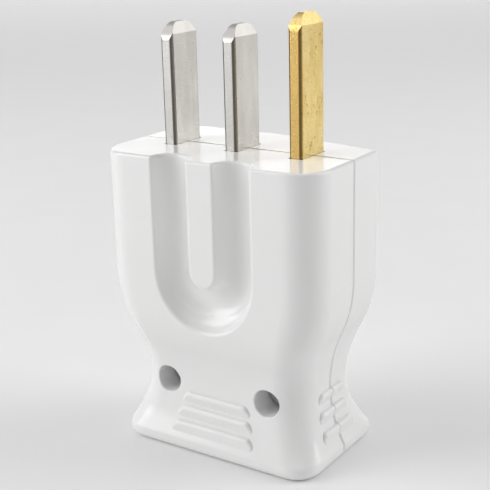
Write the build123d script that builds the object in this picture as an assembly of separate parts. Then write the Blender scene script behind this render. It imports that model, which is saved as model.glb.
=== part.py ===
from build123d import *
from math import atan, cos, hypot, sin, sqrt
import os

# Three-blade cooker plug, millimetres.
# +Z runs up from the foot to the blade tips, X runs along the row of blades,
# and -Y is the face with the U-shaped channel. The origin is the centre of the foot's underside.
# The two shells meet on the plane through the middle of the blades.

# Housing outline, seen from the front (half_width) and from the side (half_depth)
body_height = 67.3
half_width = 27.1
half_depth = 16.6
corner_radius = 7.4
side_shoulder_z = 41.4
side_waist_z = 16.8
waist_half_width = 21.5
face_shoulder_z = 33.5
face_waist_z = 15.2
waist_half_depth = 12.75
foot_band_height = 3.0
foot_band_round = 1.4
foot_round = 1.9
rim_round = 0.7

# Sloped rear flat beside the earth blade, which stops the plug going in the wrong way round
key_start_x = -1.0
key_corner_y = 10.9

# Shell walls and the joint between them
wall = 2.4
top_wall = 4.0
floor_wall = 2.6
parting_gap = 0.24
parting_edge = 0.3
tongue_thickness = 1.1
tongue_height = 1.6
tongue_clearance = 0.12

# U-shaped channel in the front face
channel_radius = 4.35
channel_leg_x = 7.85
channel_bend_z = 43.3
channel_inset = 0.3
lip_radius = 3.3
lip_drop = 1.2
lip_inset = 0.1
backing_sides = 8

# Stepped grip pads on the foot
grip_count = 3
grip_height = 1.1
grip_face = 2.5
grip_end_drop = 1.6
grip_corner_round = 1.4
grip_edge_round = 0.8
face_grip_top_z = 13.2
face_grip_pitch = 3.25
face_grip_half_length = 9.3
face_grip_growth = 0.9
face_grip_end_run = 1.6
side_grip_top_z = 16.0
side_grip_pitch = 4.1
side_grip_half_length = 5.6
side_grip_growth = 0.6
side_grip_end_run = 1.1

# Blades: flat bars with a terminal block at the root
blade_pitch = 16.0
blade_thickness = 3.2
blade_width = 9.4
line_blade_length = 26.3
earth_blade_length = 29.2
blade_edge_round = 0.8
tip_bevel_length = 2.4
tip_bevel_depth = 0.9
tip_corner_length = 2.9
tip_corner_depth = 2.2
tip_corner_round = 2.4
slot_clearance = 0.1
block_width = 8.4
block_height = 14.0
block_edge = 0.5
thread_clearance = 0.05

# Terminal clamp plates and screws
plate_thickness = 1.2
plate_size = 8.0
plate_ear = 2.4
plate_bend_radius = 1.08
ear_clearance = 0.15
terminal_shank_radius = 2.0
terminal_head_radius = 3.7
terminal_head_height = 2.6
terminal_shank_length = 9.6
recess_width = 1.0
recess_span = 0.62
recess_share = 0.55
head_bevel_share = 0.4
screw_tip = 0.5

# Shelf, barriers and backing ribs of the rear shell
shelf_thickness = 2.0
shelf_front_y = 1.0
barrier_thickness = 2.0
barrier_clearance = 0.35
backing_width = 3.2

# Screws that join the shells
housing_screw_x = 13.0
housing_screw_z = 15.1
housing_hole_radius = 3.1
housing_head_radius = 2.8
housing_head_height = 2.2
housing_head_depth = 5.0
housing_shank_radius = 1.7
housing_shank_length = 15.0
shank_clearance = 0.2
boss_wall = 1.8
blind_end = 0.8
hole_mouth_edge = 0.2
nut_size = 6.0
nut_thickness = 2.2
nut_y = 5.0
nut_clearance = 0.1

# Cable entry and cord clamp
entry_radius = 7.25
entry_round = 0.6
cord_radius = 6.0
clamp_z = 25.5
clamp_screw_x = 11.5
clamp_boss_radius = 3.6
clamp_thickness = 2.6
clamp_arch_wall = 2.2
clamp_head_radius = 2.9
clamp_head_height = 2.0
clamp_shank_radius = 1.6
clamp_shank_length = 11.0
saddle_rib_thickness = 1.4
saddle_rib_offset = 2.2

# Places that follow from the sizes above
blade_places = (-blade_pitch, 0, blade_pitch)
housing_screw_places = (-housing_screw_x, housing_screw_x)
clamp_screw_places = (-clamp_screw_x, clamp_screw_x)
cavity_top_z = body_height - top_wall
block_bottom_z = cavity_top_z - block_height
terminal_z = block_bottom_z + block_height / 2
plate_front_y = -blade_width / 2 - plate_thickness
channel_y = channel_inset - half_depth
housing_seat_y = housing_head_depth + housing_head_height - waist_half_depth
boss_radius = housing_hole_radius + boss_wall
far = 2 * body_height
near = parting_edge / 10


def waist_arcs(half, shoulder_z, waist_z, waist_half):
    """Turn and radius of the two equal arcs that draw a wall in from its shoulder to its waist."""
    rise = shoulder_z - waist_z
    turn = 2 * atan((half - waist_half) / rise)
    return turn, rise / (2 * sin(turn))


def flare_half(z, half, shoulder_z, waist_z, waist_half):
    """Half the body's size at height z on the hollow arc about the waist."""
    radius = waist_arcs(half, shoulder_z, waist_z, waist_half)[1]
    return waist_half + radius - sqrt(radius**2 - (z - waist_z) ** 2)


def waisted_face(half, shoulder_z, waist_z, waist_half, inset):
    """Upright outline of the body, drawn in by inset, with its ends run past the body."""
    turn, radius = waist_arcs(half, shoulder_z, waist_z, waist_half)
    hollow = radius + inset
    bulge = radius - inset
    axis_x = waist_half + radius
    low_z = -foot_band_height
    low_x = axis_x - sqrt(hollow**2 - (waist_z - low_z) ** 2)
    high_z = body_height + foot_band_height
    bend = (axis_x - hollow * cos(turn), waist_z + hollow * sin(turn))
    middle = (half - radius + bulge * cos(turn / 2), shoulder_z - bulge * sin(turn / 2))
    shoulder = (half - inset, shoulder_z)
    side = [
        Line((0, low_z), (low_x, low_z)),
        ThreePointArc((low_x, low_z), (axis_x - hollow, waist_z), bend),
        ThreePointArc(bend, middle, shoulder),
        Line(shoulder, (half - inset, high_z)),
        Line((half - inset, high_z), (0, high_z)),
    ]
    return make_face(side + [mirror(edge, about=Plane.YZ) for edge in side])


def front_outline(inset):
    """Outline across the row of blades."""
    return waisted_face(half_width, side_shoulder_z, side_waist_z, waist_half_width, inset)


def side_outline(inset):
    """Outline from the front face to the rear face."""
    return waisted_face(half_depth, face_shoulder_z, face_waist_z, waist_half_depth, inset)


def body_form(inset, low_z, high_z):
    """Waisted body between two heights, its corners rounded outside and bevelled inside."""
    across = extrude(Plane.XZ * front_outline(inset), half_depth * 2, both=True)
    through = extrude(Plane.YZ * side_outline(inset), half_width * 2, both=True)
    block = across & through
    corners = [
        edge
        for edge in block.edges()
        if edge.bounding_box().size.Z > near
        and abs(edge.center().X) > waist_half_width / 2
        and abs(edge.center().Y) > waist_half_depth / 2
    ]
    if inset:
        form = chamfer(corners, (corner_radius - inset) * (2 - sqrt(2)))
    else:
        form = fillet(corners, corner_radius)
    form = form & Pos(0, 0, (low_z + high_z) / 2) * Box(far, far, high_z - low_z)
    return form - key_wedge(inset)


def key_wedge(inset):
    """Space behind the sloped rear flat, from the waist to above the top."""
    run = half_width - key_start_x
    drop = half_depth - key_corner_y
    slope = atan(drop / run)
    plane = Plane(
        origin=(key_start_x, half_depth, face_waist_z),
        x_dir=(cos(slope), -sin(slope), 0),
        z_dir=(0, 0, 1),
    )
    return plane * Pos(0, far / 2 - inset, far / 2) * Box(far, far, far)


def lower_half_ring(ring_radius, radius, z):
    """Lower half of a round ring that stands upright in the front face, centred at height z."""
    ring = Pos(0, channel_y, z) * Rot(90, 0, 0) * Torus(ring_radius, radius)
    return ring & Pos(0, channel_y, z - far / 2) * Box(far, far, far)


def channel():
    """Round-bottomed U that runs down the front face, across with a lower lip, and up again."""
    rise = far - channel_bend_z
    bend = lower_half_ring(channel_leg_x, channel_radius, channel_bend_z)
    lip_ring = channel_leg_x + channel_radius - lip_radius - lip_inset
    lip = lower_half_ring(lip_ring, lip_radius, channel_bend_z - lip_drop)
    legs = [
        Pos(x, channel_y, channel_bend_z + rise / 2) * Cylinder(channel_radius, rise)
        for x in (-channel_leg_x, channel_leg_x)
    ]
    return bend + lip + legs


def channel_backing():
    """Inner side of the channel's wall, with flats in place of the round bottom."""
    flat = channel_radius + wall
    section = RegularPolygon(flat, backing_sides, major_radius=False, rotation=180 / backing_sides)
    bend_z = channel_bend_z - lip_drop
    legs = [Pos(x, 0, 0) * extrude(section, far) for x in (-channel_leg_x, channel_leg_x)]
    bend = revolve(Pos(channel_leg_x, 0, 0) * section, Axis.Y)
    bend = bend & Pos(0, 0, -far / 2) * Box(far, far, far)
    return Pos(0, channel_y, bend_z) * (bend + legs)


def grip_pads(plane, top_z, pitch, half_length, growth, end_run, reach_at):
    """Stepped pads with a ledge on top, a face that runs back into the flare and sloped ends."""
    pads = []
    for number in range(grip_count):
        ledge_z = top_z - number * pitch
        foot_z = ledge_z - grip_face
        long_half = half_length + number * growth
        short_half = long_half - end_run
        ledge_reach = reach_at(ledge_z)
        front = make_face(
            Polyline(
                (-short_half, ledge_z),
                (short_half, ledge_z),
                (long_half, ledge_z - grip_end_drop),
                (long_half, foot_z),
                (-long_half, foot_z),
                (-long_half, ledge_z - grip_end_drop),
                close=True,
            )
        )
        front = fillet(front.vertices().sort_by(Axis.Y)[2:], grip_corner_round)
        profile = make_face(
            Polyline(
                (ledge_reach - wall / 2, ledge_z),
                (ledge_reach + grip_height, ledge_z),
                (reach_at(foot_z), foot_z),
                (ledge_reach - wall / 2, foot_z),
                close=True,
            )
        )
        pad = extrude(Plane.XZ * front, far) & extrude(Plane.YZ * mirror(profile, Plane.YZ), far, both=True)
        ledge_edges = pad.edges().filter_by(lambda edge: edge.center().Y < -ledge_reach)
        pads.append(plane * fillet(ledge_edges.sort_by(Axis.Z)[1:], grip_edge_round))
    return pads


def slab(low_y, high_y):
    """Everything between two planes square to Y."""
    return Pos(0, (low_y + high_y) / 2, 0) * Box(far, high_y - low_y, 2 * far)


def rod(radius, x, z, low_y, high_y):
    """Cylinder along Y."""
    return Pos(x, (low_y + high_y) / 2, z) * Rot(90, 0, 0) * Cylinder(radius, high_y - low_y)


def level_edges(shape, z):
    """Edges that lie in the level plane at height z."""
    return [
        edge
        for edge in shape.edges()
        if abs(edge.bounding_box().min.Z - z) < near and abs(edge.bounding_box().max.Z - z) < near
    ]


def channel_rims(body):
    """Edges where the channel breaks out of the front face."""
    reach = channel_leg_x + channel_radius + rim_round
    lowest = channel_bend_z - lip_drop - reach - rim_round
    return [
        edge
        for edge in body.edges()
        if abs(edge.center().X) < reach
        and edge.center().Y < channel_y + wall / 2
        and edge.bounding_box().min.Z > lowest
    ]


def face_reach(z):
    """How far the front and rear faces stand out at height z on the foot."""
    return flare_half(z, half_depth, face_shoulder_z, face_waist_z, waist_half_depth)


def side_reach(z):
    """How far the two sides stand out at height z on the foot."""
    return flare_half(z, half_width, side_shoulder_z, side_waist_z, waist_half_width)


def all_grips():
    """Grip pads of the front face, the rear face and both sides."""
    pads = []
    for turn in (0, 180):
        pads += grip_pads(
            Rot(0, 0, turn), face_grip_top_z, face_grip_pitch,
            face_grip_half_length, face_grip_growth, face_grip_end_run, face_reach,
        )
    for turn in (90, -90):
        pads += grip_pads(
            Rot(0, 0, turn), side_grip_top_z, side_grip_pitch,
            side_grip_half_length, side_grip_growth, side_grip_end_run, side_reach,
        )
    return pads


def outer_body():
    """Both shells as one closed form, before they are parted, given their grips and hollowed."""
    form = body_form(0, foot_band_height, body_height)
    foot = extrude(form.faces().sort_by(Axis.Z)[0], foot_band_height, dir=(0, 0, -1))
    body = form + foot
    body = fillet(level_edges(body, foot_band_height), foot_band_round)
    body = fillet(level_edges(body, 0), foot_round)
    body = body - channel()
    return fillet(level_edges(body, body_height) + channel_rims(body), rim_round)


def outer_half(body, half_space, parting_y):
    """One side of the body with its parting edges bevelled and its share of the grips."""
    half = body & half_space
    rim = [edge for edge in half.edges() if abs(edge.center().Y - parting_y) < near]
    half = chamfer([edge for edge in rim if edge.bounding_box().size.Y < near], parting_edge)
    for pad in all_grips():
        share = pad & half_space
        if share:
            half = half + share
    return half


def blade_slots():
    """Slots through the top wall, half in each shell."""
    width = blade_thickness + 2 * slot_clearance
    depth = blade_width + 2 * slot_clearance
    return [Pos(x, 0, body_height) * Box(width, depth, 4 * top_wall) for x in blade_places]


def cable_entry():
    """Round hole in the foot that the cable enters by, half in each shell."""
    hole = Cylinder(entry_radius, 4 * floor_wall)
    mouth = Cone(entry_radius + entry_round, entry_radius, entry_round)
    return hole + Pos(0, 0, entry_round / 2) * mouth


def tongue(outer_inset, inner_inset, low_y, high_y, end_gap):
    """Strips along both side walls, between two depths inside the outer surface."""
    low_z = floor_wall - end_gap
    high_z = cavity_top_z + end_gap
    ring = body_form(outer_inset, low_z, high_z) - body_form(inner_inset, 0, body_height)
    sides = ring - Box(waist_half_width, far, far * 2)
    return sides & slab(low_y, high_y)


def front_shell(body, cavity):
    """Front half: the U channel, the two screw wells and the rebate for the tongue."""
    shell = outer_half(body, slab(-far, -parting_gap / 2), -parting_gap / 2)
    shell = shell - (cavity - channel_backing())
    rebate_inset = wall - tongue_thickness - tongue_clearance
    rebate_depth = tongue_height + tongue_clearance
    shell = shell - tongue(rebate_inset, wall, -rebate_depth, 0, tongue_clearance)
    inner_form = body_form(wall / 2, floor_wall / 2, cavity_top_z)
    for x in housing_screw_places:
        shell = shell + (rod(boss_radius, x, housing_screw_z, -half_depth, 0) & inner_form)
    for x in housing_screw_places:
        well = rod(housing_hole_radius, x, housing_screw_z, -far, housing_seat_y)
        shank_hole = rod(housing_shank_radius + shank_clearance, x, housing_screw_z, -far, far)
        shell = shell - well - shank_hole
    shell = chamfer(well_mouths(shell), hole_mouth_edge)
    return shell - blade_slots() - cable_entry()


def on_well(edge, x):
    """Whether an edge runs round the wall of the screw well at x."""
    places = [edge @ share for share in (0, 1 / 2, 1)]
    spans = [hypot(place.X - x, place.Z - housing_screw_z) for place in places]
    return all(abs(span - housing_hole_radius) < near for span in spans)


def well_mouths(shell):
    """Edges where the screw wells open on the front face."""
    return [
        edge
        for edge in shell.edges()
        if edge.center().Y < housing_seat_y - wall
        and edge.bounding_box().size.X > near
        and any(on_well(edge, x) for x in housing_screw_places)
    ]


def rear_shell(body, cavity):
    """Rear half: the shelf and barriers that carry the blades, the nut bosses and the cord saddle."""
    shell = outer_half(body, slab(parting_gap / 2, far), parting_gap / 2)
    shell = shell - cavity
    strip = tongue(wall - tongue_thickness, wall, -tongue_height, wall, 0)
    strip = strip - body_form(wall, floor_wall, body_height)
    inner_form = body_form(wall / 2, floor_wall / 2, cavity_top_z)
    inside = [strip] + terminal_deck(inner_form) + rear_bosses(inner_form) + cord_saddle(inner_form)
    for piece in inside:
        shell = shell + piece
    for x in housing_screw_places:
        shell = shell - housing_nut_seat(x)
    for x in clamp_screw_places:
        depth = clamp_shank_length - clamp_thickness + blind_end
        shell = shell - rod(clamp_shank_radius + thread_clearance, x, clamp_z, -far, depth)
    return shell - blade_slots() - cable_entry()


def terminal_deck(inner_form):
    """Shelf under the terminal blocks, barriers between them and a rib behind each."""
    deck_height = block_height + shelf_thickness
    deck_z = cavity_top_z - deck_height / 2
    shelf = Pos(0, (shelf_front_y + far) / 2, block_bottom_z - shelf_thickness / 2)
    pieces = [shelf * Box(far, far - shelf_front_y, shelf_thickness) & inner_form]
    barrier_front = channel_y + channel_radius + wall + barrier_clearance
    for x in (-blade_pitch / 2, blade_pitch / 2):
        barrier = Pos(x, (barrier_front + far) / 2, deck_z)
        pieces.append(barrier * Box(barrier_thickness, far - barrier_front, deck_height) & inner_form)
    for x in blade_places:
        rib = Pos(x, (blade_width / 2 + far) / 2, deck_z)
        pieces.append(rib * Box(backing_width, far - blade_width / 2, deck_height) & inner_form)
    return pieces


def rear_bosses(inner_form):
    """Posts for the screws that join the shells and for the cord clamp."""
    posts = [rod(boss_radius, x, housing_screw_z, 0, half_depth) for x in housing_screw_places]
    posts += [rod(clamp_boss_radius, x, clamp_z, 0, half_depth) for x in clamp_screw_places]
    return [post & inner_form for post in posts]


def cord_saddle(inner_form):
    """Two ribs with a half-round seat for the cable behind the clamp bar."""
    ribs = []
    for offset in (-saddle_rib_offset, saddle_rib_offset):
        rib = Pos(0, half_depth / 2, clamp_z + offset)
        rib = rib * Box(2 * clamp_screw_x, half_depth, saddle_rib_thickness) & inner_form
        ribs.append(rib - Cylinder(cord_radius, 2 * far))
    return ribs


def housing_nut_seat(x):
    """Screw hole that ends blind, crossed by a slot that the square nut slides into from above."""
    tip_y = housing_seat_y + housing_shank_length + blind_end
    hole = rod(housing_shank_radius + shank_clearance, x, housing_screw_z, -far, tip_y)
    width = nut_size + 2 * nut_clearance
    rise = width / 2 + boss_radius
    slot = Pos(x, nut_y + nut_thickness / 2, housing_screw_z + (rise - width) / 2)
    return hole + slot * Box(width, nut_thickness + 2 * nut_clearance, rise)


def blade(x, length):
    """Flat bar with a bevelled nose and a terminal block at its root, cut from one piece."""
    tip_z = body_height + length
    half_y = blade_width / 2
    half_x = blade_thickness / 2
    wide = Polyline(
        (-half_y, terminal_z),
        (half_y, terminal_z),
        (half_y, tip_z - tip_corner_length),
        (half_y - tip_corner_depth, tip_z),
        (-half_y + tip_corner_depth, tip_z),
        (-half_y, tip_z - tip_corner_length),
        close=True,
    )
    wide = make_face(wide)
    wide = fillet(wide.vertices().sort_by(Axis.Y)[2:], tip_corner_round)
    narrow = make_face(
        Polyline(
            (-half_x, terminal_z),
            (half_x, terminal_z),
            (half_x, tip_z - tip_bevel_length),
            (half_x - tip_bevel_depth, tip_z),
            (-half_x + tip_bevel_depth, tip_z),
            (-half_x, tip_z - tip_bevel_length),
            close=True,
        )
    )
    section = RectangleRounded(blade_thickness, blade_width, blade_edge_round)
    bar = Pos(0, 0, terminal_z) * extrude(section, tip_z - terminal_z)
    bar = bar & extrude(Plane.YZ * wide, blade_pitch, both=True)
    bar = bar & extrude(Plane.XZ * narrow, far, both=True)
    block = Pos(0, 0, terminal_z) * Box(block_width, blade_width, block_height)
    block = chamfer(block.edges().filter_by(Axis.Z), block_edge)
    screw_hole = rod(terminal_shank_radius + thread_clearance, 0, terminal_z, -far, far)
    return Pos(x, 0, 0) * (bar + block - screw_hole)


def clamp_plate(x):
    """Square washer whose ears straddle the block and keep the strands under the screw."""
    ear_x = block_width / 2 + ear_clearance
    width = 2 * (ear_x + plate_thickness)
    depth = plate_thickness + plate_ear
    front = Pos(0, plate_front_y + depth / 2, terminal_z) * Box(width, depth, plate_size)
    front = fillet(front.edges().filter_by(Axis.Z).sort_by(Axis.Y)[:2], plate_bend_radius)
    room = Pos(0, plate_front_y + plate_thickness + far / 2, terminal_z)
    plate = front - room * Box(2 * ear_x, far, far)
    plate = plate - rod(terminal_shank_radius + shank_clearance, 0, terminal_z, -far, far)
    return Pos(x, 0, 0) * plate


def pan_screw(head_radius, head_height, shank_radius, shank_length, tip):
    """Pan head screw with a cross recess, driven along +Z, its head seated on Z = 0."""
    head = Pos(0, 0, -head_height / 2) * Cylinder(head_radius, head_height)
    head = chamfer(head.edges().sort_by(Axis.Z)[0], head_height * head_bevel_share)
    shank = Pos(0, 0, shank_length / 2) * Cylinder(shank_radius, shank_length)
    shank = chamfer(shank.edges().sort_by(Axis.Z)[-1], tip)
    span = 2 * recess_span * head_radius
    depth = recess_share * head_height
    cut = Pos(0, 0, depth / 2 - head_height)
    cross = Box(span, recess_width, depth) + Box(recess_width, span, depth)
    return head + shank - cut * cross


def driven_along_y(x, y, z):
    """Place of a screw that is driven towards +Y with its head seated at y."""
    return Pos(x, y, z) * Rot(-90, 0, 0)


def housing_nut(x):
    """Square nut that slides into the slot of its boss."""
    nut = Pos(0, nut_y + nut_thickness / 2, housing_screw_z) * Box(nut_size, nut_thickness, nut_size)
    nut = nut - rod(housing_shank_radius + thread_clearance, 0, housing_screw_z, -far, far)
    return Pos(x, 0, 0) * nut


def cord_clamp_bar():
    """Bar with an arch over the cable, its feet screwed down on the posts of the rear shell."""
    width = 2 * clamp_boss_radius
    feet = Pos(0, -clamp_thickness / 2, clamp_z) * Box(2 * clamp_screw_x, clamp_thickness, width)
    for x in clamp_screw_places:
        feet = feet + rod(clamp_boss_radius, x, clamp_z, -clamp_thickness, 0)
    arch = Pos(0, 0, clamp_z) * Cylinder(cord_radius + clamp_arch_wall, width)
    bar = (feet + arch) & slab(-far, 0)
    bar = bar - Pos(0, 0, clamp_z) * Cylinder(cord_radius, 2 * width)
    for x in clamp_screw_places:
        bar = bar - rod(clamp_shank_radius + shank_clearance, x, clamp_z, -far, far)
    return bar


def all_nodes():
    """Every piece of the plug by name."""
    body = outer_body()
    cavity = body_form(wall, floor_wall, cavity_top_z)
    nodes = {
        "front_shell": front_shell(body, cavity),
        "rear_shell": rear_shell(body, cavity),
        "cord_clamp_bar": cord_clamp_bar(),
    }
    terminal_screw = pan_screw(
        terminal_head_radius, terminal_head_height, terminal_shank_radius, terminal_shank_length, screw_tip
    )
    housing_screw = pan_screw(
        housing_head_radius, housing_head_height, housing_shank_radius, housing_shank_length, screw_tip
    )
    clamp_screw = pan_screw(
        clamp_head_radius, clamp_head_height, clamp_shank_radius, clamp_shank_length, screw_tip
    )
    lengths = (line_blade_length, line_blade_length, earth_blade_length)
    for name, x, length in zip(("line", "neutral", "earth"), blade_places, lengths):
        nodes[name + "_blade"] = blade(x, length)
        nodes[name + "_clamp_plate"] = clamp_plate(x)
        nodes[name + "_terminal_screw"] = driven_along_y(x, plate_front_y, terminal_z) * terminal_screw
    for name, side in (("left", 0), ("right", 1)):
        housing_x = housing_screw_places[side]
        clamp_x = clamp_screw_places[side]
        nodes[name + "_housing_screw"] = (
            driven_along_y(housing_x, housing_seat_y, housing_screw_z) * housing_screw
        )
        nodes[name + "_housing_nut"] = housing_nut(housing_x)
        nodes[name + "_clamp_screw"] = driven_along_y(clamp_x, -clamp_thickness, clamp_z) * clamp_screw
    return nodes


os.makedirs("parts", exist_ok=True)
for node, solid in all_nodes().items():
    export_step(solid, "parts/" + node + ".step")
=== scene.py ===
import math

import bmesh
import bpy
from mathutils import Matrix, Vector


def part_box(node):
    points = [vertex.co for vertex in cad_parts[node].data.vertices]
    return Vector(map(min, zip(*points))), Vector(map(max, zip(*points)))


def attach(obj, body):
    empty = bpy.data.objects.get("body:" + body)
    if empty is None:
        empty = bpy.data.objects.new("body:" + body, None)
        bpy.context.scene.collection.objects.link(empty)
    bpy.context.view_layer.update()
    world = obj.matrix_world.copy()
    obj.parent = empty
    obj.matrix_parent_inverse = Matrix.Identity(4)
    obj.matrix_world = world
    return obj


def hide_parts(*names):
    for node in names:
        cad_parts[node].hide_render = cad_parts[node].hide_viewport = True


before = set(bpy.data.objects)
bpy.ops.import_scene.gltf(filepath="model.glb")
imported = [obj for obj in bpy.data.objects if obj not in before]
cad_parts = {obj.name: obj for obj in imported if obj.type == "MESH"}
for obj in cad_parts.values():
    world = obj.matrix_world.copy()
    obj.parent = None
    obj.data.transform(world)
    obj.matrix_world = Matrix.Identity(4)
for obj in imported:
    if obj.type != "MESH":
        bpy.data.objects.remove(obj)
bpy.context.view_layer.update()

# Camera. A short telephoto stands a little above the plug's shoulders and to the right of its front,
# and looks past the face with the U channel at the narrow side beyond it.
camera_turn = math.radians(33.956)
camera_rise = math.radians(17.053)
camera_roll = math.radians(-1.404)
camera_distance = 0.23235
camera_side_step = 0.00022
camera_drop = -0.02043
camera_lens = 79.26
camera_shift = (0.0026, -0.0060)
plug_top_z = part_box("front_shell")[1].z


def studio_direction(turn, rise):
    """Unit vector from the plug, turned to the right of its front and raised from the table."""
    return Vector((
        math.sin(turn) * math.cos(rise),
        -math.cos(turn) * math.cos(rise),
        math.sin(rise),
    ))


def add_object(name, data):
    """New object in the scene for a camera, a lamp or a mesh."""
    added = bpy.data.objects.new(name, data)
    bpy.context.scene.collection.objects.link(added)
    return added


towards_camera = studio_direction(camera_turn, camera_rise)
level_right = Vector((math.cos(camera_turn), math.sin(camera_turn), 0))
level_up = towards_camera.cross(level_right)
camera_right = math.cos(camera_roll) * level_right + math.sin(camera_roll) * level_up
camera_up = -math.sin(camera_roll) * level_right + math.cos(camera_roll) * level_up
camera_place = camera_right * camera_side_step + camera_up * camera_drop + towards_camera * camera_distance
camera_place.z += plug_top_z
camera = add_object("camera", bpy.data.cameras.new("camera"))
camera.data.lens = camera_lens
camera.data.shift_x, camera.data.shift_y = camera_shift
camera.data.clip_start = 0.01
camera.matrix_world = Matrix((
    (camera_right.x, camera_up.x, towards_camera.x, camera_place.x),
    (camera_right.y, camera_up.y, towards_camera.y, camera_place.y),
    (camera_right.z, camera_up.z, towards_camera.z, camera_place.z),
    (0, 0, 0, 1),
))
bpy.context.scene.camera = camera

# Table and lights. The plug stands on a round sweep of matt white card that turns up far away. The card
# glows with painted light, an emission that grows away from the plug and up the wall. A wide lamp hangs
# overhead, and one each stands left of the front, on the right and behind, so the front's right corner
# gets the least light.
floor_radius = 1.8
sweep_radius = 0.6
sweep_steps = 12
wall_height = 0.8
segments_around = 96
card_dark = (0.80, 0.80, 0.80)
card_light = (0.83, 0.83, 0.83)
card_roughness = 0.7
glow_distances = (0.1, 1.4)
glow_strengths = (0.05, 0.21)
glow_heights = (0.02, 0.4)
glow_gains = (1, 1.8)
room_strength = 0.05


def new_material(name):
    """Node material with only its shader and output. Gives its node tree and the shader too."""
    material = bpy.data.materials.new(name)
    material.use_nodes = True
    return material, material.node_tree, material.node_tree.nodes["Principled BSDF"]


def add_node(tree, kind, **settings):
    """Node of one kind with its settings filled in."""
    node = tree.nodes.new(kind)
    for key, value in settings.items():
        setattr(node, key, value)
    return node


def place_noise(tree, scale, stretch=(1, 1, 1), detail=4.0):
    """Noise laid through the piece in metres. A stretch under 1 draws it out along that axis."""
    place = add_node(tree, "ShaderNodeTexCoord")
    mapping = add_node(tree, "ShaderNodeMapping")
    mapping.inputs["Scale"].default_value = stretch
    noise = add_node(tree, "ShaderNodeTexNoise")
    noise.inputs["Scale"].default_value = scale
    noise.inputs["Detail"].default_value = detail
    tree.links.new(place.outputs["Object"], mapping.inputs["Vector"])
    tree.links.new(mapping.outputs["Vector"], noise.inputs["Vector"])
    return noise.outputs["Fac"]


def remap(tree, source, old_range, new_range):
    """A value spread from one range to another, held at its ends."""
    node = add_node(tree, "ShaderNodeMapRange")
    node.inputs["From Min"].default_value, node.inputs["From Max"].default_value = old_range
    node.inputs["To Min"].default_value, node.inputs["To Max"].default_value = new_range
    tree.links.new(source, node.inputs["Value"])
    return node.outputs["Result"]


def blend_colours(tree, share, first, second):
    """Colour that runs from first to second with share. Each is a colour or a node's output."""
    node = add_node(tree, "ShaderNodeMix", data_type="RGBA")
    tree.links.new(share, node.inputs["Factor"])
    for name, colour in (("A", first), ("B", second)):
        if isinstance(colour, tuple):
            node.inputs[name].default_value = (*colour, 1)
        else:
            tree.links.new(colour, node.inputs[name])
    return node.outputs["Result"]


def vary_colour(tree, shader, share, first, second):
    """Let the shader's colour run from first to second with share."""
    tree.links.new(blend_colours(tree, share, first, second), shader.inputs["Base Color"])


def combine(tree, operation, first, second):
    """Sum or product of two values, the second of them a node's output or a plain number."""
    node = add_node(tree, "ShaderNodeMath", operation=operation)
    tree.links.new(first, node.inputs[0])
    if isinstance(second, float):
        node.inputs[1].default_value = second
    else:
        tree.links.new(second, node.inputs[1])
    return node.outputs["Value"]


def join_rings(mesh, rings):
    """Faces between each ring of vertices and the next."""
    for ring, after in zip(rings, rings[1:]):
        for number in range(len(ring)):
            beside = (number + 1) % len(ring)
            mesh.faces.new((ring[number], ring[beside], after[beside], after[number]))


def mesh_object(name, mesh):
    """Put a finished bmesh into the scene as an object."""
    data = bpy.data.meshes.new(name)
    mesh.to_mesh(data)
    mesh.free()
    return add_object(name, data)


card, tree, shader = new_material("white_card")
vary_colour(tree, shader, place_noise(tree, scale=40), card_dark, card_light)
shader.inputs["Roughness"].default_value = card_roughness
place = add_node(tree, "ShaderNodeTexCoord")
from_plug = add_node(tree, "ShaderNodeVectorMath", operation="LENGTH")
parts = add_node(tree, "ShaderNodeSeparateXYZ")
tree.links.new(place.outputs["Object"], from_plug.inputs[0])
tree.links.new(place.outputs["Object"], parts.inputs["Vector"])
# Painted light: the card's emission grows with distance from the plug and with height up the wall.
glow_out = remap(tree, from_plug.outputs["Value"], glow_distances, glow_strengths)
glow_up = remap(tree, parts.outputs["Z"], glow_heights, glow_gains)
tree.links.new(combine(tree, "MULTIPLY", glow_out, glow_up), shader.inputs["Emission Strength"])
shader.inputs["Emission Color"].default_value = (1, 1, 1, 1)
profile = [(floor_radius + sweep_radius, wall_height)]
for step in range(sweep_steps, -1, -1):
    angle = math.pi / 2 * step / sweep_steps
    radius = floor_radius + sweep_radius * math.sin(angle)
    height = sweep_radius * (1 - math.cos(angle))
    profile.append((radius, height))
backdrop = bmesh.new()
rings = []
for radius, height in profile:
    ring = []
    for number in range(segments_around):
        turn = math.tau * number / segments_around
        ring.append(backdrop.verts.new((radius * math.cos(turn), radius * math.sin(turn), height)))
    rings.append(ring)
join_rings(backdrop, rings)
for face in backdrop.faces:
    face.smooth = True
# The level middle comes last, so that only the sweep and its wall are shaded smooth.
backdrop.faces.new(rings[-1])
table = mesh_object("table", backdrop)
table.data.materials.append(card)


def add_lamp(name, turn, rise, distance, size, power):
    """Soft rectangular lamp that faces the middle of the plug, out of the camera's sight."""
    lamp = bpy.data.lights.new(name, "AREA")
    lamp.shape = "RECTANGLE"
    lamp.size, lamp.size_y = size
    lamp.energy = power
    holder = add_object(name, lamp)
    aim = Vector((0, 0, plug_top_z / 2))
    away = studio_direction(math.radians(turn), math.radians(rise))
    holder.location = aim + away * distance
    holder.rotation_euler = (-away).to_track_quat("-Z", "Y").to_euler()
    holder.visible_camera = False


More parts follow.
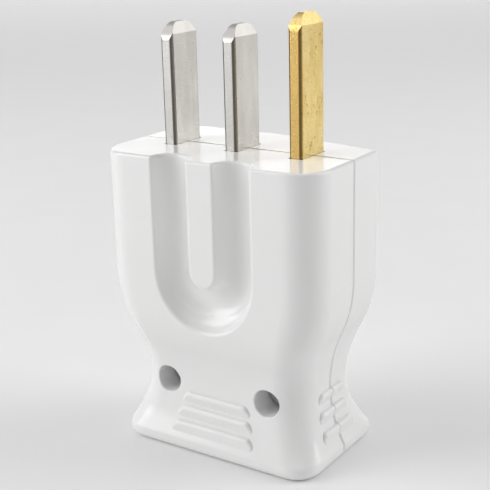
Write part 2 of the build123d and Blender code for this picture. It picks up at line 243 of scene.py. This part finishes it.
add_lamp("ceiling_lamp", turn=0, rise=90, distance=1.60, size=(2.4, 2.4), power=13.5)
add_lamp("left_lamp", turn=-52, rise=28, distance=0.70, size=(0.45, 0.6), power=2.8)
add_lamp("right_lamp", turn=128, rise=30, distance=0.70, size=(0.45, 0.6), power=2.2)
add_lamp("rear_lamp", turn=214, rise=20, distance=1.60, size=(1.9, 0.6), power=3.6)
room = bpy.data.worlds.new("pale_room")
room.use_nodes = True
room.node_tree.nodes["Background"].inputs["Color"].default_value = (1, 1, 1, 1)
room.node_tree.nodes["Background"].inputs["Strength"].default_value = room_strength
bpy.context.scene.world = room
bpy.context.scene.view_settings.view_transform = "Standard"

# Housing. Two moulded shells of glossy white plastic, drawn together by two screws from the front.
# The tool was polished, so the skin is smooth, with only the faint ripple that plastic takes as it cools.
plastic_light = (0.885, 0.885, 0.88)
plastic_deep = (0.865, 0.865, 0.86)
plastic_roughness = (0.15, 0.20)
plastic_index = 1.52
usual_noise = (0.3, 0.7)


def vary_roughness(tree, shader, noise, ends):
    """Let the roughness run between its ends over the values that noise usually has."""
    tree.links.new(remap(tree, noise, usual_noise, ends), shader.inputs["Roughness"])


def add_bump(tree, shader, height, depth):
    """Fine relief, of a few hundredths of a millimetre at most."""
    node = add_node(tree, "ShaderNodeBump")
    node.inputs["Distance"].default_value = depth
    tree.links.new(height, node.inputs["Height"])
    tree.links.new(node.outputs["Normal"], shader.inputs["Normal"])


def dress(names, material):
    """Give CAD nodes the finish of the real piece."""
    for name in names:
        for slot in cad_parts[name].material_slots:
            slot.material = material


housing_plastic, tree, shader = new_material("glossy_white_plastic")
vary_colour(tree, shader, place_noise(tree, scale=90, detail=2.0), plastic_light, plastic_deep)
vary_roughness(tree, shader, place_noise(tree, scale=260), plastic_roughness)
shader.inputs["IOR"].default_value = plastic_index
add_bump(tree, shader, place_noise(tree, scale=320, detail=1.0), depth=0.00001)
dress(("front_shell", "rear_shell"), housing_plastic)

# Live blades. Drawn brass bar with rounded corners, its nose milled to bevels, nickel plated.
# The two narrow faces keep a pebbled skin. The wide ones are smooth and satin, with faint lines
# along the bar. The four rounded corners are darkened by a painted dark reflection.
nickel_wide = (0.68, 0.655, 0.62)
nickel_shadow = (0.58, 0.555, 0.52)
nickel_narrow = (0.60, 0.585, 0.56)
nickel_nose = (0.52, 0.51, 0.49)
# Colour of the painted dark reflection on the rounded corners, and how much of it is laid on.
nickel_painted_reflection = (0.13, 0.113, 0.094)
nickel_painted_reflection_most = 0.95
nickel_roughness = (0.26, 0.38)
nose_extra_roughness = 0.25


def new_metal(name):
    """Node material of metal. Gives its node tree and the shader too."""
    material, tree, shader = new_material(name)
    shader.inputs["Metallic"].default_value = 1.0
    return material, tree, shader


def face_share(tree, axis, turned):
    """How squarely the surface faces one way or its opposite: from 0 to 1 over the given cosines."""
    geometry = add_node(tree, "ShaderNodeNewGeometry")
    parts = add_node(tree, "ShaderNodeSeparateXYZ")
    size = add_node(tree, "ShaderNodeMath", operation="ABSOLUTE")
    tree.links.new(geometry.outputs["True Normal"], parts.inputs["Vector"])
    tree.links.new(parts.outputs[axis], size.inputs[0])
    return remap(tree, size.outputs["Value"], turned, (0, 1))


def narrow_share(tree):
    """Full on the two narrow faces of a blade and nothing on the wide ones."""
    return face_share(tree, "Y", (0.75, 0.95))


def painted_corner_reflection_share(tree, painted_most):
    """Share of painted dark reflection on a rounded corner where it leaves the narrow face, up to the
    given most, fading towards the wide one.
    """
    past_narrow = face_share(tree, "X", (0.08, 0.30))
    short_of_wide = face_share(tree, "Y", (0.10, 0.75))
    return combine(tree, "MULTIPLY", combine(tree, "MULTIPLY", past_narrow, short_of_wide), painted_most)


def add_blade_relief(tree, shader, grain, narrow, line_stretch):
    """Faint lines along the bar, and grain that stands up as pebbles on the narrow faces."""
    line_height = 0.25
    pebble_height = 2.6
    lines = place_noise(tree, scale=1500, stretch=(1, 1, line_stretch), detail=3.0)
    faint_lines = combine(tree, "MULTIPLY", lines, line_height)
    pebbles = combine(tree, "MULTIPLY", combine(tree, "MULTIPLY", grain, narrow), pebble_height)
    add_bump(tree, shader, combine(tree, "ADD", faint_lines, pebbles), depth=0.00003)


nickel, tree, shader = new_metal("satin_nickel")
narrow = narrow_share(tree)
nose = face_share(tree, "Z", (0.25, 0.50))
grain = place_noise(tree, scale=2600)
cloud = place_noise(tree, scale=260, stretch=(1, 1, 0.3), detail=3.0)
smudge = remap(tree, cloud, (0.35, 0.65), (0, 1))
wide_colour = blend_colours(tree, smudge, nickel_wide, nickel_shadow)
side_colour = blend_colours(tree, narrow, wide_colour, nickel_narrow)
metal_colour = blend_colours(tree, nose, side_colour, nickel_nose)
# A painted dark reflection darkens the rounded corners.
vary_colour(tree, shader, painted_corner_reflection_share(tree, nickel_painted_reflection_most), metal_colour, nickel_painted_reflection)
satin = remap(tree, grain, usual_noise, nickel_roughness)
milled = combine(tree, "MULTIPLY", nose, nose_extra_roughness)
tree.links.new(combine(tree, "ADD", satin, milled), shader.inputs["Roughness"])
add_blade_relief(tree, shader, grain, narrow, line_stretch=0.02)
dress(("line_blade", "neutral_blade"), nickel)

# Earth blade. The same bar in bare brass, left longer so that it meets its contact first.
# Its narrow faces are more orange and pebbled, and its wide ones pale with small brown freckles.
brass_wide = (0.84, 0.655, 0.28)
brass_deep = (0.75, 0.54, 0.185)
brass_narrow = (0.70, 0.48, 0.165)
# Colour of the painted dark reflection on the rounded corners, and how much of it is laid on.
brass_painted_reflection = (0.17, 0.09, 0.025)
brass_painted_reflection_most = 0.92
brass_roughness = (0.24, 0.38)
freckle_brown = (0.42, 0.24, 0.07)
freckle_most = 0.7
brass, tree, shader = new_metal("bare_brass")
narrow = narrow_share(tree)
grain = place_noise(tree, scale=2600)
cloud = place_noise(tree, scale=420, stretch=(1, 1, 0.4), detail=5.0)
smudge = remap(tree, cloud, (0.4, 0.7), (0, 1))
specks = place_noise(tree, scale=1500, stretch=(1, 0.8, 0.5), detail=3.0)
freckles = remap(tree, specks, (0.62, 0.70), (0, freckle_most))
clean_colour = blend_colours(tree, smudge, brass_wide, brass_deep)
wide_colour = blend_colours(tree, freckles, clean_colour, freckle_brown)
metal_colour = blend_colours(tree, narrow, wide_colour, brass_narrow)
# A painted dark reflection darkens the rounded corners.
vary_colour(tree, shader, painted_corner_reflection_share(tree, brass_painted_reflection_most), metal_colour, brass_painted_reflection)
vary_roughness(tree, shader, grain, brass_roughness)
add_blade_relief(tree, shader, grain, narrow, line_stretch=0.03)
dress(("earth_blade",), brass)

# Terminal clamp plates. Stamped from brass strip and bent over the sides of each terminal block.
# They are tumbled, so they are duller than the blades.
plate_light = (0.76, 0.60, 0.30)
plate_dull = (0.66, 0.49, 0.22)
plate_roughness = (0.35, 0.5)
plate_brass, tree, shader = new_metal("stamped_brass")
grain = place_noise(tree, scale=900)
vary_colour(tree, shader, grain, plate_light, plate_dull)
vary_roughness(tree, shader, grain, plate_roughness)
dress(("line_clamp_plate", "neutral_clamp_plate", "earth_clamp_plate"), plate_brass)

# Nuts. Square steel nuts, bright zinc plated, slid from above into slots in the rear shell's bosses.
# The plating has a fine grain and greys a little where it is thin.
zinc_bright = (0.72, 0.73, 0.75)
zinc_grey = (0.58, 0.59, 0.61)
zinc_roughness = (0.25, 0.4)
zinc, tree, shader = new_metal("zinc_plate")
grain = place_noise(tree, scale=1400, detail=5.0)
vary_colour(tree, shader, grain, zinc_bright, zinc_grey)
vary_roughness(tree, shader, grain, zinc_roughness)
dress(("left_housing_nut", "right_housing_nut"), zinc)


# Screws. Cold-headed steel with a domed head, a tapered cross recess and rolled threads, zinc plated.
# Three hold the clamp plates, two draw the shells together and two coarser ones hold the cord clamp.
def screw_outline(head_radius, head_height, seat_y, low_y, shank_radius):
    """Half section of the head from its dome to the shank, as places along the screw and radii."""
    rim_height = head_height * 0.6
    dome_height = head_height - rim_height
    dome_steps = 8
    edge_round = 0.0002
    outline = []
    for step in range(1, dome_steps + 1):
        angle = math.pi / 2 * step / dome_steps
        fall = dome_height * (1 - math.cos(angle))
        outline.append((low_y + fall, (head_radius - edge_round / 2) * math.sin(angle)))
    outline.append((low_y + dome_height + edge_round, head_radius))
    outline.append((seat_y - edge_round, head_radius))
    outline.append((seat_y, head_radius - edge_round))
    outline.append((seat_y, shank_radius))
    return outline


def thread_radius(shank_radius, along, left, turn_share, pitch, thread_depth):
    """Radius of the shank at one spot, from how far it is along from the seat and short of the tip."""
    flank_rise = 2.5
    crest_flat = 0.15
    depth_kept_at_tip = 0.25
    tip_bevel = 1.2 * thread_depth
    phase = (along / pitch - turn_share) % 1
    groove = min(1, max(0, flank_rise * min(phase, 1 - phase) - crest_flat))
    fade = max(0, min(1, along / pitch, left / pitch + depth_kept_at_tip))
    return shank_radius - thread_depth * groove * fade + min(0, left - tip_bevel)


def sink_recess(screw, head_radius, head_height, low_y):
    """Cut the tapered cross that the driver bites in, from above the dome to its floor."""
    mouth_y = low_y - head_height / 4
    mouth_reach = head_radius * 0.66
    mouth_half_wing = head_radius * 0.20
    floor_y = low_y + head_height * 0.62
    floor_reach = head_radius * 0.34
    floor_half_wing = head_radius * 0.11
    mouth = (mouth_y, mouth_reach, mouth_half_wing)
    floor = (floor_y, floor_reach, floor_half_wing)
    mesh = bmesh.new()
    outlines = []
    for y, reach, half_wing in (mouth, floor):
        corners = []
        for quarter in range(4):
            turn = Matrix.Rotation(-math.pi / 2 * quarter, 4, "Y")
            for x, z in ((half_wing, half_wing), (half_wing, reach), (-half_wing, reach)):
                corners.append(mesh.verts.new(turn @ Vector((x, y, z))))
        outlines.append(corners)
        mesh.faces.new(corners)
    join_rings(mesh, outlines)
    bmesh.ops.recalc_face_normals(mesh, faces=mesh.faces)
    cutter = mesh_object("recess_cutter", mesh)
    cut = screw.modifiers.new("recess", "BOOLEAN")
    cut.operation = "DIFFERENCE"
    cut.solver = "EXACT"
    cut.object = cutter
    evaluated = screw.evaluated_get(bpy.context.evaluated_depsgraph_get())
    recessed = bpy.data.meshes.new_from_object(evaluated)
    screw.modifiers.clear()
    screw.data = recessed
    bpy.data.objects.remove(cutter)


def build_screw(name, head_height, shank_radius, pitch, thread_depth):
    """Screw in the place of the CAD one, driven towards +Y, with a right-hand thread."""
    segments = 36
    rows_per_turn = 8
    smooth_up_to = math.radians(40)
    low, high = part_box(name)
    seat_y = low.y + head_height
    head_radius = (high.x - low.x) / 2
    shank_length = high.y - seat_y
    outline = screw_outline(head_radius, head_height, seat_y, low.y, shank_radius)
    head_rings = len(outline)
    rows = int(shank_length / pitch * rows_per_turn)
    for row in range(1, rows + 1):
        outline.append((seat_y + shank_length * row / rows, shank_radius))
    mesh = bmesh.new()
    rings = []
    for number, (y, radius) in enumerate(outline):
        ring = []
        for segment in range(segments):
            angle = math.tau * segment / segments
            reach = radius
            if number >= head_rings:
                turn_share = segment / segments
                reach = thread_radius(radius, y - seat_y, high.y - y, turn_share, pitch, thread_depth)
            ring.append(mesh.verts.new((reach * math.cos(angle), y, -reach * math.sin(angle))))
        rings.append(ring)
    join_rings(mesh, rings)
    apex = mesh.verts.new((0, low.y, 0))
    tip = mesh.verts.new((0, high.y, 0))
    for segment in range(segments):
        beside = (segment + 1) % segments
        mesh.faces.new((apex, rings[0][beside], rings[0][segment]))
        mesh.faces.new((tip, rings[-1][segment], rings[-1][beside]))
    bmesh.ops.recalc_face_normals(mesh, faces=mesh.faces)
    screw = mesh_object(name + "_threaded", mesh)
    sink_recess(screw, head_radius, head_height, low.y)
    centre = Vector(((low.x + high.x) / 2, 0, (low.z + high.z) / 2))
    screw.data.transform(Matrix.Translation(centre))
    screw.data.polygons.foreach_set("use_smooth", [True] * len(screw.data.polygons))
    screw.data.set_sharp_from_angle(angle=smooth_up_to)
    screw.data.materials.append(zinc)
    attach(screw, "root")
    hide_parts(name)


for post in ("line", "neutral", "earth"):
    build_screw(
        post + "_terminal_screw",
        head_height=0.0026,
        shank_radius=0.0020,
        pitch=0.0007,
        thread_depth=0.00038,
    )
for hand in ("left", "right"):
    build_screw(
        hand + "_housing_screw",
        head_height=0.0022,
        shank_radius=0.0017,
        pitch=0.0006,
        thread_depth=0.00033,
    )
    build_screw(
        hand + "_clamp_screw",
        head_height=0.0020,
        shank_radius=0.0016,
        pitch=0.0012,
        thread_depth=0.00040,
    )

# Cord clamp. A grey moulded bar with an arch over the cable, held by two screws.
# Its tool was spark finished, so it is matt with a fine grain.
clamp_light = (0.36, 0.37, 0.38)
clamp_dark = (0.30, 0.31, 0.32)
clamp_roughness = 0.55
clamp_plastic, tree, shader = new_material("grey_moulded_plastic")
grain = place_noise(tree, scale=2200, detail=3.0)
vary_colour(tree, shader, grain, clamp_light, clamp_dark)
shader.inputs["Roughness"].default_value = clamp_roughness
add_bump(tree, shader, grain, depth=0.00002)
dress(("cord_clamp_bar",), clamp_plastic)
